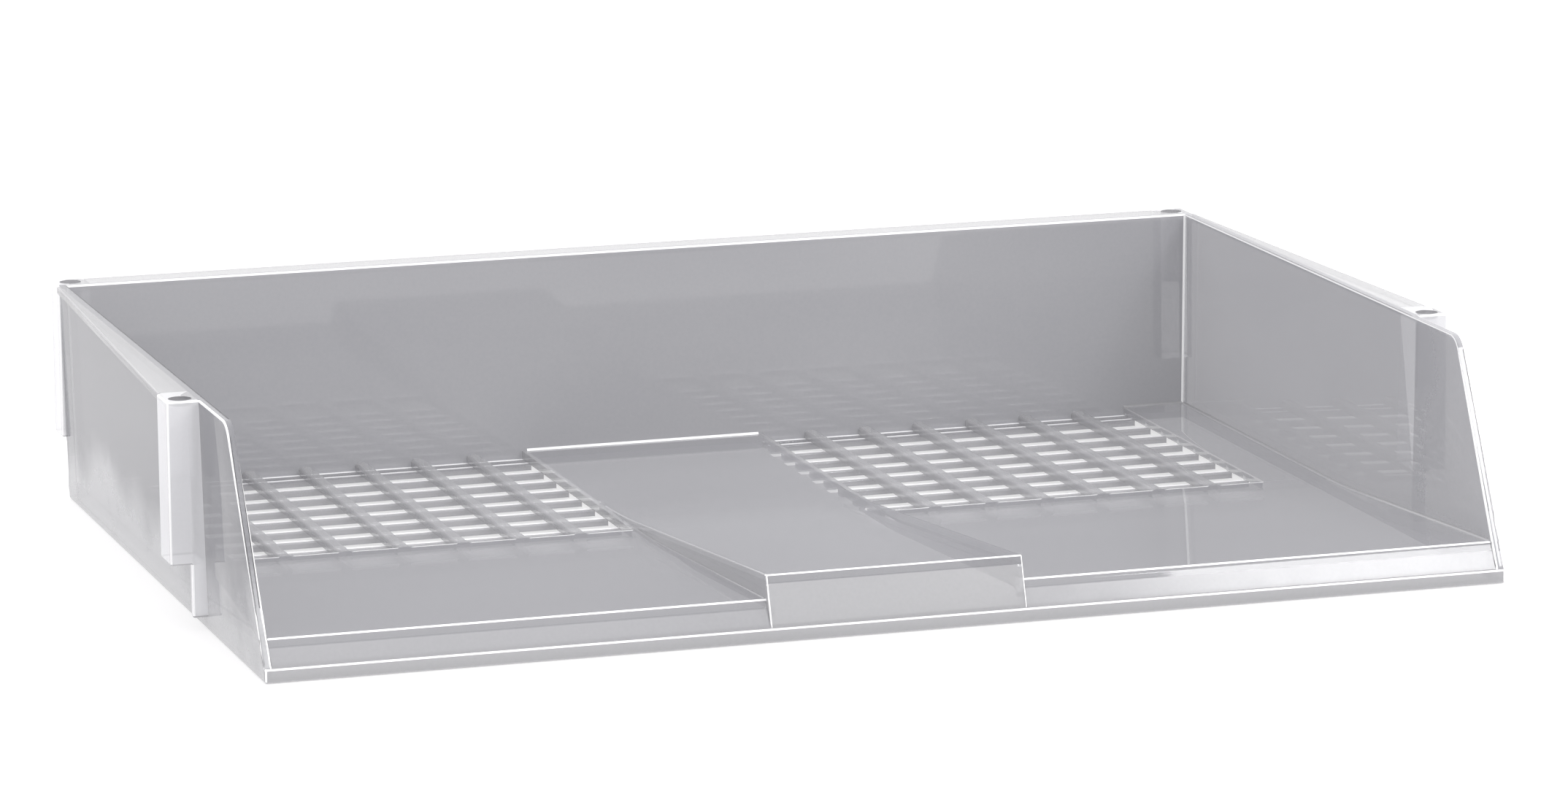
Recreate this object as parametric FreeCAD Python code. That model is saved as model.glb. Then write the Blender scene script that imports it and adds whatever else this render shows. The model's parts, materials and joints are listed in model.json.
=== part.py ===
import FreeCAD, Part
import math
import os

# Stackable wide-entry letter tray, moulded in one clear plastic shot.
# Frame: X across the entry, -Y towards the user, +Z up, base on Z = 0,
# origin at the middle of the base. All values are millimetres and degrees.

V = FreeCAD.Vector

# ---- overall -----------------------------------------------------------
DEPTH = 264.0            # front rim to back ledge
HEIGHT = 65.0            # base to wall tops
BAY_WIDTH = 355.2        # between the side walls, at the base

# ---- walls -------------------------------------------------------------
WALL = 2.2               # thickness of side and back walls
DRAFT = 1.1              # outward lean of side and back walls
WALL_FOOT_SETBACK = 1.2  # side wall foot behind the front rim
WALL_TOP_SETBACK = 35.0  # front end of a wall's top edge behind the front rim
WALL_NOSE = 7.0          # radius of the side wall's top front corner

# ---- floor -------------------------------------------------------------
BASE_GAP = 0.45          # underside of the cross bars above the base
SHEET = 2.5              # floor and deck sheet thickness
FLOOR_FRONT = 11.0       # floor surface above the base, at the front edge
FLOOR_BEND_LEAD = 14.0   # start of the rise in front of the grids
FLOOR_BEND_RUN = 12.0    # length of the bend on each side of that line

# ---- raised centre deck ------------------------------------------------
DECK_WIDTH = 74.4
DECK_FRONT = 17.8        # deck surface above the base, at the front edge
DECK_BEND_LAG = 22.0     # start of the deck's rise behind the grids' front
DECK_BEND_RUN = 20.0
FLANK = 2.0              # thickness of the deck's side faces
FLANK_LAG = 14.0         # rear end of the side faces behind the grids' front

# ---- grids -------------------------------------------------------------
GRID_BORDER = 1.6        # strip of floor between the deck and the first slot
GRID_MARGIN = 18.0       # least width of floor between a grid and the wall
ROWS = 8                 # cross bars in each grid
SLOT_WIDTH = 13.4        # clear opening between ribs
RIB = 4.2                # rib width
RIB_ROUND = 1.2          # radius along a rib's top edges
BAR = 4.0                # cross bar width, front to back
BAR_HEIGHT = 1.75
BAR_REAR = 7.35          # rearmost bar's centre line to the back wall's foot
BAR_PITCH = 14.1
BAR_LEAD = 13.9          # front bar's centre line to the grid's front line
BAR_TUCK = 4.0           # how far bars run under the sheets beside the grid
REAR_STRIP = 3.0         # strip along the foot of the back wall

# ---- front -------------------------------------------------------------
FACE = 2.2               # thickness of the sloping front faces
FACE_RUN = 4.5           # how far the faces lean back, foot to top
RIM_HEIGHT = 3.9
RIM_STEP = 1.7           # level step in front of the sloping faces
RIM_DEPTH = 5.2

# ---- ledges and riser posts --------------------------------------------
LEDGE = 2.2              # ledge thickness
LEDGE_REAR_OUT = 0.45    # side ledge beyond the wall, at the back corners
POST_FOOT = 18.9         # underside of the riser posts
POST_SETBACK = 67.5      # front face of the front posts behind the front rim
POST_ROUND = 2.0         # vertical corner radius
SOCKET_BORE = 6.5        # riser socket diameter
SOCKET_DEPTH = 22.0
SOCKET_IN = 1.0          # plastic between a front socket and the wall's top
SOCKET_OUT = 1.45        # plastic outside a front socket
SOCKET_AHEAD = 1.35      # plastic in front of a front socket
SOCKET_BEHIND = 6.15     # plastic behind a front socket
REAR_SOCKET_SIDE = 1.75  # plastic on each side of a rear socket
REAR_SOCKET_SKIN = 1.05  # plastic in front of and behind a rear socket
WEB_REACH = 4.3          # web under a front post, out from the wall
WEB = 1.8                # web thickness
WEB_FOOT = 3.7           # underside of the web

# ---- values that follow from the above ---------------------------------
FRONT = -DEPTH / 2.0
BACK = DEPTH / 2.0
LEAN = math.tan(math.radians(DRAFT))
BAY_HALF = BAY_WIDTH / 2.0
WALL_OUT = BAY_HALF + WALL + LEAN * HEIGHT     # side wall's outer face at the top
REAR_HALF = WALL_OUT + LEDGE_REAR_OUT          # ledges' outer edge at the back
POST_HALF = WALL_OUT + SOCKET_IN + SOCKET_BORE + SOCKET_OUT
REAR_POST = SOCKET_BORE + 2.0 * REAR_SOCKET_SIDE          # side to side
BACK_LEDGE = WALL + SOCKET_BORE + 2.0 * REAR_SOCKET_SKIN  # from the wall's inner top
BAY_BACK = BACK - BACK_LEDGE - LEAN * HEIGHT   # back wall's inner face at base
POST_FRONT = FRONT + POST_SETBACK
POST_BACK = POST_FRONT + SOCKET_AHEAD + SOCKET_BORE + SOCKET_BEHIND
DECK_HALF = DECK_WIDTH / 2.0
GRID_START = DECK_HALF + GRID_BORDER
COLUMNS = int((BAY_HALF - GRID_MARGIN - GRID_START + RIB) / (SLOT_WIDTH + RIB))
GRID_EDGE = GRID_START + COLUMNS * SLOT_WIDTH + (COLUMNS - 1) * RIB
BAR_FIRST = BAY_BACK - BAR_REAR                # centre line of the rearmost bar
GRID_FRONT = BAR_FIRST - (ROWS - 1) * BAR_PITCH - BAR_LEAD
FLOOR_REAR = BASE_GAP + BAR_HEIGHT + SHEET     # floor surface at the back
STEP_LINE = FRONT + RIM_STEP                   # foot of the sloping faces
FLOOR_EDGE = STEP_LINE + FACE_RUN              # front edge of the floor surface
FLANK_REAR = GRID_FRONT + FLANK_LAG
BIG = 4.0 * (BAY_WIDTH + DEPTH)


def polygon(points):
    """Face inside a closed loop of points."""
    return Part.Face(Part.makePolygon(points + [points[0]]))


def along_x(outline, x0, x1):
    """Solid from a (y, z) outline between two X values."""
    face = polygon([V(x0, y, z) for y, z in outline])
    return face.extrude(V(x1 - x0, 0, 0))


def along_y(outline, y0, y1):
    """Solid from an (x, z) outline between two Y values."""
    face = polygon([V(x, y0, z) for x, z in outline])
    return face.extrude(V(0, y1 - y0, 0))


def along_z(outline, z0, z1):
    """Solid from an (x, y) outline between two Z values."""
    face = polygon([V(x, y, z0) for x, y in outline])
    return face.extrude(V(0, 0, z1 - z0))


def box(x0, x1, y0, y1, z0, z1):
    """Box from its limits, given in either order."""
    low = V(min(x0, x1), min(y0, y1), min(z0, z1))
    return Part.makeBox(abs(x1 - x0), abs(y1 - y0), abs(z1 - z0), low)


def single(shape):
    """The one solid in a shape."""
    shape = shape.removeSplitter()
    solids = shape.Solids
    if len(solids) != 1:
        raise ValueError("expected one solid, got %d" % len(solids))
    return solids[0]


def largest(shape):
    """The biggest solid left after a cut."""
    return single(max(shape.Solids, key=lambda s: s.Volume))


def mirrored(shape):
    """The same shape on the other side of the tray."""
    return shape.mirror(V(0, 0, 0), V(1, 0, 0))


class Rise:
    """Level sheet that bends up to a straight slope towards the front."""

    def __init__(self, bend, run, top_rear, top_front, edge):
        self.bend, self.run = bend, run
        self.rear, self.edge = top_rear, edge
        self.front = top_front
        self.angle = math.atan2(top_front - top_rear, bend - edge)
        self.radius = run / math.tan(self.angle / 2.0)

    def section(self, y_back, lift, front_line):
        """Edges of the surface moved down by lift, from the front backwards.

        front_line gives the Y of the sloping front plane at a height.
        """
        radius = self.radius + lift
        arc_rear = V(0, self.bend + self.run, self.rear - lift)
        centre = V(0, self.bend + self.run, self.rear + self.radius)
        end = V(0, centre.y - radius * math.sin(self.angle),
                centre.z - radius * math.cos(self.angle))
        half = self.angle / 2.0
        middle = V(0, centre.y - radius * math.sin(half),
                   centre.z - radius * math.cos(half))
        slope = math.tan(self.angle)
        z = self.front - lift
        for _ in range(12):
            y = front_line(z)
            z = end.z + (end.y - y) * slope
        tip = V(0, front_line(z), z)
        edges = [Part.makeLine(tip, end), Part.Arc(end, middle, arc_rear).toShape()]
        if y_back > arc_rear.y + 1e-6:
            edges.append(Part.makeLine(arc_rear, V(0, y_back, self.rear - lift)))
        return edges

    def sheet(self, x0, x1, y_back, front_line):
        """Solid sheet SHEET thick between two X values."""
        top = self.section(y_back, 0.0, front_line)
        low = self.section(y_back, SHEET, front_line)
        rear = Part.makeLine(top[-1].Vertexes[-1].Point, low[-1].Vertexes[-1].Point)
        nose = Part.makeLine(low[0].Vertexes[0].Point, top[0].Vertexes[0].Point)
        wire = Part.Wire(Part.__sortEdges__(top + [rear] + low + [nose]))
        solid = Part.Face(wire).extrude(V(x1 - x0, 0, 0))
        solid.translate(V(x0, 0, 0))
        return solid


def front_slope(edge, height):
    """Sloping front plane from a surface's front edge down to the rim step."""
    run = (edge - STEP_LINE) / (height - RIM_HEIGHT)
    return lambda z: STEP_LINE + (z - RIM_HEIGHT) * run


FLOOR = Rise(GRID_FRONT - FLOOR_BEND_LEAD, FLOOR_BEND_RUN, FLOOR_REAR, FLOOR_FRONT, FLOOR_EDGE)
DECK = Rise(GRID_FRONT + DECK_BEND_LAG, DECK_BEND_RUN, FLOOR_REAR, DECK_FRONT, FLOOR_EDGE)
FLOOR_SLOPE = front_slope(FLOOR_EDGE, FLOOR_FRONT)
DECK_SLOPE = front_slope(FLOOR_EDGE, DECK_FRONT)


def side_wall():
    """Right side wall, drafted, with its sloping front edge and round nose."""
    lean = LEAN * HEIGHT
    section = [(BAY_HALF, 0), (BAY_HALF + WALL, 0),
               (BAY_HALF + WALL + lean, HEIGHT), (BAY_HALF + lean, HEIGHT)]
    wall = along_y(section, FRONT - 1, BACK)
    foot_y = FRONT + WALL_FOOT_SETBACK
    top = V(0, FRONT + WALL_TOP_SETBACK, HEIGHT)
    foot = V(0, foot_y, RIM_HEIGHT)
    down = (foot - top).normalize()
    turn = math.acos(max(-1.0, min(1.0, down.dot(V(0, 1, 0)))))
    reach = WALL_NOSE / math.tan(turn / 2.0)
    a = top + V(0, 1, 0) * reach
    b = top + down * reach
    bisector = (V(0, 1, 0) + down).normalize()
    centre = top + bisector * (WALL_NOSE / math.sin(turn / 2.0))
    middle = centre - bisector * WALL_NOSE
    back_line = BAY_BACK + WALL
    corners = [V(0, back_line + lean, HEIGHT), a]
    edges = [Part.makeLine(corners[0], a), Part.Arc(a, middle, b).toShape()]
    loop = [b, foot, V(0, foot_y, 0), V(0, back_line, 0), corners[0]]
    edges += [Part.makeLine(p, q) for p, q in zip(loop[:-1], loop[1:])]
    outline = Part.Face(Part.Wire(edges)).extrude(V(BIG, 0, 0))
    return single(wall.common(outline))


def back_wall(sides):
    """Back wall between the side walls."""
    lean = LEAN * HEIGHT
    section = [(BAY_BACK, 0), (BAY_BACK + WALL, 0),
               (BAY_BACK + WALL + lean, HEIGHT), (BAY_BACK + lean, HEIGHT)]
    half = BAY_HALF + lean + WALL / 2.0
    wall = along_x(section, -half, half)
    for side in sides:
        wall = wall.cut(side)
    return largest(wall)


def deck():
    """Raised centre deck, level at the back and rising to the front."""
    return single(DECK.sheet(-DECK_HALF, DECK_HALF, BAY_BACK + 2 * WALL, DECK_SLOPE))


def floor_ramp(side):
    """Right floor in front of the grid, rising to the front edge."""
    sheet = FLOOR.sheet(DECK_HALF, BAY_HALF + WALL, GRID_FRONT, FLOOR_SLOPE)
    return largest(sheet.cut(side))


def floor_margin(side, back):
    """Level strip of floor between the right grid and the side wall."""
    strip = box(GRID_EDGE, BAY_HALF + WALL, GRID_FRONT, BACK - BACK_LEDGE,
                FLOOR_REAR - SHEET, FLOOR_REAR)
    return largest(strip.cut(side).cut(back))


def rib(x, back):
    """One lengthwise grid rib with rounded top edges."""
    low, high = FLOOR_REAR - SHEET, FLOOR_REAR
    body = box(x, x + RIB, GRID_FRONT, BACK - BACK_LEDGE, low, high)
    long_edges = [e for e in body.Edges
                  if abs(e.Vertexes[0].Z - high) < 1e-6
                  and abs(e.Vertexes[1].Z - high) < 1e-6
                  and abs(e.Vertexes[0].X - e.Vertexes[1].X) < 1e-6]
    return body.makeFillet(min(RIB_ROUND, 0.45 * RIB), long_edges).cut(back)


def grid_ribs(back):
    """Lengthwise ribs of the right grid, level with the floor."""
    pitch = SLOT_WIDTH + RIB
    first = GRID_START + SLOT_WIDTH
    border = box(DECK_HALF, GRID_START, GRID_FRONT, BACK - BACK_LEDGE,
                 FLOOR_REAR - SHEET, FLOOR_REAR)
    ribs = [single(rib(first + column * pitch, back)) for column in range(COLUMNS - 1)]
    return Part.makeCompound([largest(border.cut(back))] + ribs)


def grid_bars(back):
    """Cross bars under the right grid's ribs, and a strip at the back wall."""
    high = FLOOR_REAR - SHEET
    low = high - BAR_HEIGHT
    x0, x1 = GRID_START - BAR_TUCK, GRID_EDGE + BAR_TUCK
    strip = box(x0, x1, BAY_BACK - REAR_STRIP, BACK - BACK_LEDGE, low, high)
    centres = [BAR_FIRST - row * BAR_PITCH for row in range(ROWS)]
    bars = [box(x0, x1, y - BAR / 2, y + BAR / 2, low, high) for y in centres]
    return Part.makeCompound([largest(strip.cut(back))] + bars)


def deck_flank(deck_solid, label):
    """Right side face of the deck, down to the underside of the floor."""
    block = box(DECK_HALF - FLANK, DECK_HALF, FRONT, FLANK_REAR, 0, DECK_FRONT)
    under = FLOOR.sheet(-BIG, BIG, BACK, FLOOR_SLOPE)
    under.translate(V(0, 0, -SHEET))
    below = box(-BIG, BIG, FRONT, BACK, -BIG, FLOOR_REAR - 2 * SHEET)
    keep = block.cut(under).cut(below).cut(deck_solid).cut(label)
    inside = V(DECK_HALF - FLANK / 2, FLOOR_EDGE + 4 * FACE, FLOOR_FRONT)
    return single([s for s in keep.Solids if s.isInside(inside, 1e-6, True)][0])


def front_face(x0, x1, slope, top, sheet, cutters):
    """Sloping face from a sheet's underside down to the rim."""
    run = (slope(top) - slope(RIM_HEIGHT)) / (top - RIM_HEIGHT)
    inset = FACE * math.hypot(1.0, run)
    outline = [(slope(RIM_HEIGHT), RIM_HEIGHT), (slope(RIM_HEIGHT) + inset, RIM_HEIGHT),
               (slope(top) + inset, top), (slope(top), top)]
    face = along_x(outline, x0, x1).cut(sheet)
    for other in cutters:
        face = face.cut(other)
    return largest(face)


def front_rim(sides):
    """Low rim along the front, between the feet of the side walls."""
    rim = box(-BAY_HALF - WALL, BAY_HALF + WALL, FRONT, FRONT + RIM_DEPTH, 0, RIM_HEIGHT)
    for side in sides:
        rim = rim.cut(side)
    return single(rim)


def ledge_edge(y):
    """Outer edge of the right side ledge at a Y position."""
    share = (BACK - y) / (BACK - POST_FRONT)
    return REAR_HALF + share * (POST_HALF - REAR_HALF)


def rounded_column(x0, x1, y0, y1, z0, z1, corners):
    """Upright block with chosen vertical corners rounded."""
    block = box(x0, x1, y0, y1, z0, z1)
    edges = []
    for edge in block.Edges:
        a, b = edge.Vertexes[0].Point, edge.Vertexes[1].Point
        upright = abs(a.x - b.x) < 1e-6 and abs(a.y - b.y) < 1e-6
        if upright and any(abs(a.x - x) < 1e-6 and abs(a.y - y) < 1e-6 for x, y in corners):
            edges.append(edge)
    return block.makeFillet(POST_ROUND, edges)


def socket(x, y):
    """Riser socket, open at the top."""
    return Part.makeCylinder(SOCKET_BORE / 2.0, SOCKET_DEPTH + 1,
                             V(x, y, HEIGHT - SOCKET_DEPTH), V(0, 0, 1))


def front_post(side):
    """Right front riser post on the outside of the side wall."""
    post = rounded_column(BAY_HALF, POST_HALF, POST_FRONT, POST_BACK, POST_FOOT, HEIGHT,
                          [(POST_HALF, POST_BACK)])
    x = POST_HALF - SOCKET_OUT - SOCKET_BORE / 2.0
    post = post.cut(socket(x, POST_FRONT + SOCKET_AHEAD + SOCKET_BORE / 2.0))
    return largest(post.cut(side))


def rear_post(side, back):
    """Right rear riser post behind the back wall."""
    inner = REAR_HALF - REAR_POST
    post = rounded_column(inner, REAR_HALF, BACK - BACK_LEDGE, BACK,
                          POST_FOOT, HEIGHT, [(inner, BACK)])
    room = BACK_LEDGE - WALL
    post = post.cut(socket(REAR_HALF - REAR_POST / 2.0, BACK - room / 2.0))
    return largest(post.cut(side).cut(back))


def side_ledge(side, posts):
    """Right side ledge, widening towards the front post."""
    rear, front = BACK - BACK_LEDGE, POST_BACK
    top = [(BAY_HALF, rear), (ledge_edge(rear), rear), (ledge_edge(front), front),
           (BAY_HALF, front)]
    ledge = along_z(top, HEIGHT - LEDGE, HEIGHT).cut(side)
    for post in posts:
        ledge = ledge.cut(post)
    return largest(ledge)


def back_ledge(back, posts):
    """Ledge along the back between the rear posts."""
    half = REAR_HALF - REAR_POST
    ledge = box(-half, half, BAY_BACK, BACK, HEIGHT - LEDGE, HEIGHT).cut(back)
    for post in posts:
        ledge = ledge.cut(post)
    return largest(ledge)


def post_web(side):
    """Upright web on the side wall, under the right front post."""
    web = box(BAY_HALF, BAY_HALF + WALL + WEB_REACH, POST_FRONT, POST_FRONT + WEB,
              WEB_FOOT, POST_FOOT)
    return largest(web.cut(side))


def build():
    """Every piece of the tray, by name."""
    right = side_wall()
    left = mirrored(right)
    back = back_wall([left, right])
    deck_solid = largest(deck().cut(back))
    ramp = floor_ramp(right)
    label = front_face(-DECK_HALF, DECK_HALF, DECK_SLOPE, DECK_FRONT, deck_solid, [])
    flank = deck_flank(deck_solid, label)
    face = front_face(DECK_HALF, BAY_HALF + WALL, FLOOR_SLOPE, FLOOR_FRONT, ramp, [right])
    post_f, post_r = front_post(right), rear_post(right, back)
    paired = {
        "side_wall": right,
        "floor_ramp": ramp,
        "floor_margin": floor_margin(right, back),
        "grid_ribs": grid_ribs(back),
        "grid_bars": grid_bars(back),
        "deck_flank": flank,
        "front_face": face,
        "front_riser_post": post_f,
        "rear_riser_post": post_r,
        "side_ledge": side_ledge(right, [post_f, post_r]),
        "post_web": post_web(right),
    }
    pieces = {
        "back_wall": back,
        "centre_deck": deck_solid,
        "label_face": label,
        "front_rim": front_rim([left, right]),
        "back_ledge": back_ledge(back, [post_r, mirrored(post_r)]),
    }
    for name, shape in paired.items():
        pieces["right_" + name] = shape
        pieces["left_" + name] = mirrored(shape)
    return pieces


os.makedirs("parts", exist_ok=True)
for node, solid in sorted(build().items()):
    solid.exportStep(os.path.join("parts", node + ".step"))
    bounds = solid.BoundBox
    print("%-24s vol %9.1f  x %7.2f %7.2f  y %7.2f %7.2f  z %6.2f %6.2f %s" % (
        node, solid.Volume, bounds.XMin, bounds.XMax, bounds.YMin, bounds.YMax,
        bounds.ZMin, bounds.ZMax, solid.isValid()))
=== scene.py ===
"""Clear stacking letter tray: moulded regions, polystyrene finishes and studio.

The frame gives every region its size and place. Each class here turns the
plain regions of one sub-assembly into moulded ones, with a painted highlight on
rounded free edges, fillets in the corners and a glossy translucent finish,
set out as lit and shaded copies of one plastic with painted glow and shade.
"""

import json
import logging
import math
from collections.abc import Callable, Sequence
from dataclasses import dataclass, replace
from enum import Enum

import bmesh
import bpy
from mathutils import Matrix, Vector
from mathutils.bvhtree import BVHTree

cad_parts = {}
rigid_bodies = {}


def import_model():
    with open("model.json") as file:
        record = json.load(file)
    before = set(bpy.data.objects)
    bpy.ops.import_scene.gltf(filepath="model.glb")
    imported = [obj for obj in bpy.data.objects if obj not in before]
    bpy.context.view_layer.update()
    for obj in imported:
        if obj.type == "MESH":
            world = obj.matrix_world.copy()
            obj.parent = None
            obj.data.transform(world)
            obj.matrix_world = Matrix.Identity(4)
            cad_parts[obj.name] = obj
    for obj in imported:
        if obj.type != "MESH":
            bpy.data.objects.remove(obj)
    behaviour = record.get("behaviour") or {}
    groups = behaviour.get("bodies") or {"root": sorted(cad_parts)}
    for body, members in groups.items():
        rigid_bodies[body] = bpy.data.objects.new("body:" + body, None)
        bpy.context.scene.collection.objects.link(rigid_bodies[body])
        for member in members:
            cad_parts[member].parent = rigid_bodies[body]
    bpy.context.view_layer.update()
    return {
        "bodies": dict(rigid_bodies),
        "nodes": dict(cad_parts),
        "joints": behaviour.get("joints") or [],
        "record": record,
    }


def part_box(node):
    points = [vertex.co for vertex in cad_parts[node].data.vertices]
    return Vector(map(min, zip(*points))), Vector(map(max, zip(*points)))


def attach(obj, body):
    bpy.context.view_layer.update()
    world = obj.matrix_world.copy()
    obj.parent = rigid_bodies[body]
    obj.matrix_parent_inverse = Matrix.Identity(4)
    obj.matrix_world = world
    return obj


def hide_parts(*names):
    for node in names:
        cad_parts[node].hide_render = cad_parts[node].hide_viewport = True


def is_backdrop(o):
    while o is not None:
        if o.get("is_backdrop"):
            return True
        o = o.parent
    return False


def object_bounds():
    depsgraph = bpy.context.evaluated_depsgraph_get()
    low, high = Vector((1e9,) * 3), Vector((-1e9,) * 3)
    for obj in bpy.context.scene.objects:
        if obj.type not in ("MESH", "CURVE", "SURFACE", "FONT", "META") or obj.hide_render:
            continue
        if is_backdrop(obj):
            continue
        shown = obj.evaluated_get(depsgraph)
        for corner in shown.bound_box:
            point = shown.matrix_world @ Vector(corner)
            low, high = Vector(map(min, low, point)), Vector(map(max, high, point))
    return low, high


MM = 0.001
POLYSTYRENE_IOR = 1.59
LOG = logging.getLogger("letter_tray")
Colour = tuple[float, float, float]
Box = tuple[Vector, Vector]


class Side(Enum):
    """The two mirrored halves of the tray."""

    LEFT = -1
    RIGHT = 1

    @property
    def prefix(self) -> str:
        """Start of this side's node names."""
        return self.name.lower() + "_"


class Surface(Enum):
    """Kinds of surface on a moulded piece: lit and shaded copies of one plastic, painted
    highlights and shade, and clear joints.
    """

    SHEET = 0
    # painted highlight on rounded edges
    EDGE = 1
    # painted highlight along bar tops, brightest at the rear
    CREST = 2
    # softer painted highlight, on fillets and dimmed rounding
    SOFT_HIGHLIGHT = 3
    BLOCK = 4
    FRONT = 5
    # painted shade inside socket bores
    BORE = 6
    FACE = 7
    BACK = 8
    WALL = 9
    LEDGE = 10
    JOINT = 11
    LEFT_WALL = 12


# ---------------------------------------------------------------- finishes: lit and shaded copies of one plastic


class NodeGraph:
    """Short forms for building a material's node tree."""

    def __init__(self, name: str) -> None:
        """Starts an empty tree with an output.

        Args:
            name: the material's name.
        """
        self.material = bpy.data.materials.new(name)
        self.material.use_nodes = True
        self.tree = self.material.node_tree
        self.tree.nodes.clear()
        self.output = self.add("ShaderNodeOutputMaterial")
        self.place = self.add("ShaderNodeTexCoord").outputs["Object"]

    def add(self, kind: str, **settings: object) -> bpy.types.Node:
        """Adds a node and sets its own properties.

        Args:
            kind: the node's type name.
            **settings: node properties by name.

        Returns:
            The new node.
        """
        node = self.tree.nodes.new(kind)
        for key, value in settings.items():
            setattr(node, key, value)
        return node

    def link(self, source: bpy.types.NodeSocket, target: bpy.types.NodeSocket) -> None:
        """Joins two sockets."""
        self.tree.links.new(source, target)

    def noise(self, scale: float, detail: float,
              stretch: tuple[float, float, float] = (1.0, 1.0, 1.0)) -> bpy.types.NodeSocket:
        """Noise over the object's own coordinates.

        Args:
            scale: cells per metre.
            detail: octaves.
            stretch: scale along each axis.

        Returns:
            The noise's factor.
        """
        mapping = self.add("ShaderNodeMapping")
        mapping.inputs["Scale"].default_value = stretch
        self.link(self.place, mapping.inputs["Vector"])
        texture = self.add("ShaderNodeTexNoise")
        texture.inputs["Scale"].default_value = scale
        texture.inputs["Detail"].default_value = detail
        self.link(mapping.outputs["Vector"], texture.inputs["Vector"])
        return texture.outputs["Fac"]

    def ramp(self, factor: bpy.types.NodeSocket, low: Colour, high: Colour,
             start: float = 0.3, end: float = 0.7) -> bpy.types.NodeSocket:
        """Colour that runs from low to high as a factor rises.

        Args:
            factor: what drives the colour.
            low: colour at start.
            high: colour at end.
            start: factor where the run begins.
            end: factor where the run ends.

        Returns:
            The ramp's colour.
        """
        ramp = self.add("ShaderNodeValToRGB")
        ramp.color_ramp.elements[0].position = start
        ramp.color_ramp.elements[0].color = (*low, 1.0)
        ramp.color_ramp.elements[1].position = end
        ramp.color_ramp.elements[1].color = (*high, 1.0)
        self.link(factor, ramp.inputs["Fac"])
        return ramp.outputs["Color"]

    def painted_foot_reflection(self, height: float, wander: float) -> bpy.types.NodeSocket:
        """Painted reflection that brightens from a wandering height down to the tray's foot.

        Args:
            height: where the painted reflection starts, in metres.
            wander: how far its edge rises and falls, in metres.

        Returns:
            A factor, 0 above the painted reflection and 1 at the foot.
        """
        axes = self.add("ShaderNodeSeparateXYZ")
        self.link(self.place, axes.inputs["Vector"])
        drift = self.span(self.noise(30.0, 3.0), -wander, wander)
        level = self.add("ShaderNodeMath", operation="ADD")
        self.link(axes.outputs["Z"], level.inputs[0])
        self.link(drift, level.inputs[1])
        node = self.add("ShaderNodeMapRange", interpolation_type="SMOOTHSTEP")
        node.inputs["From Min"].default_value = height
        node.inputs["From Max"].default_value = 0.0
        self.link(level.outputs["Value"], node.inputs["Value"])
        return node.outputs["Result"]

    def mean(self, first: bpy.types.NodeSocket, second: bpy.types.NodeSocket,
             share: float) -> bpy.types.NodeSocket:
        """Weighted mean of two factors.

        Args:
            first: one factor.
            second: the other.
            share: the second's part of the mean, from 0 to 1.

        Returns:
            The mean.
        """
        node = self.add("ShaderNodeMix")
        node.inputs["Factor"].default_value = share
        self.link(first, node.inputs["A"])
        self.link(second, node.inputs["B"])
        return node.outputs["Result"]

    def span(self, factor: bpy.types.NodeSocket, low: float, high: float) -> bpy.types.NodeSocket:
        """Value that moves in step with a factor.

        Args:
            factor: what drives the value, from 0 to 1.
            low: value at 0.
            high: value at 1.

        Returns:
            The value.
        """
        node = self.add("ShaderNodeMapRange")
        node.inputs["To Min"].default_value = low
        node.inputs["To Max"].default_value = high
        self.link(factor, node.inputs["Value"])
        return node.outputs["Result"]

    def bump(self, height: bpy.types.NodeSocket, distance: float,
             strength: float) -> bpy.types.NodeSocket:
        """Surface normal from a height.

        Args:
            height: the height socket.
            distance: height of a full step, in metres.
            strength: share of the effect.

        Returns:
            The normal socket.
        """
        node = self.add("ShaderNodeBump")
        node.inputs["Distance"].default_value = distance
        node.inputs["Strength"].default_value = strength
        self.link(height, node.inputs["Height"])
        return node.outputs["Normal"]


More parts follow.
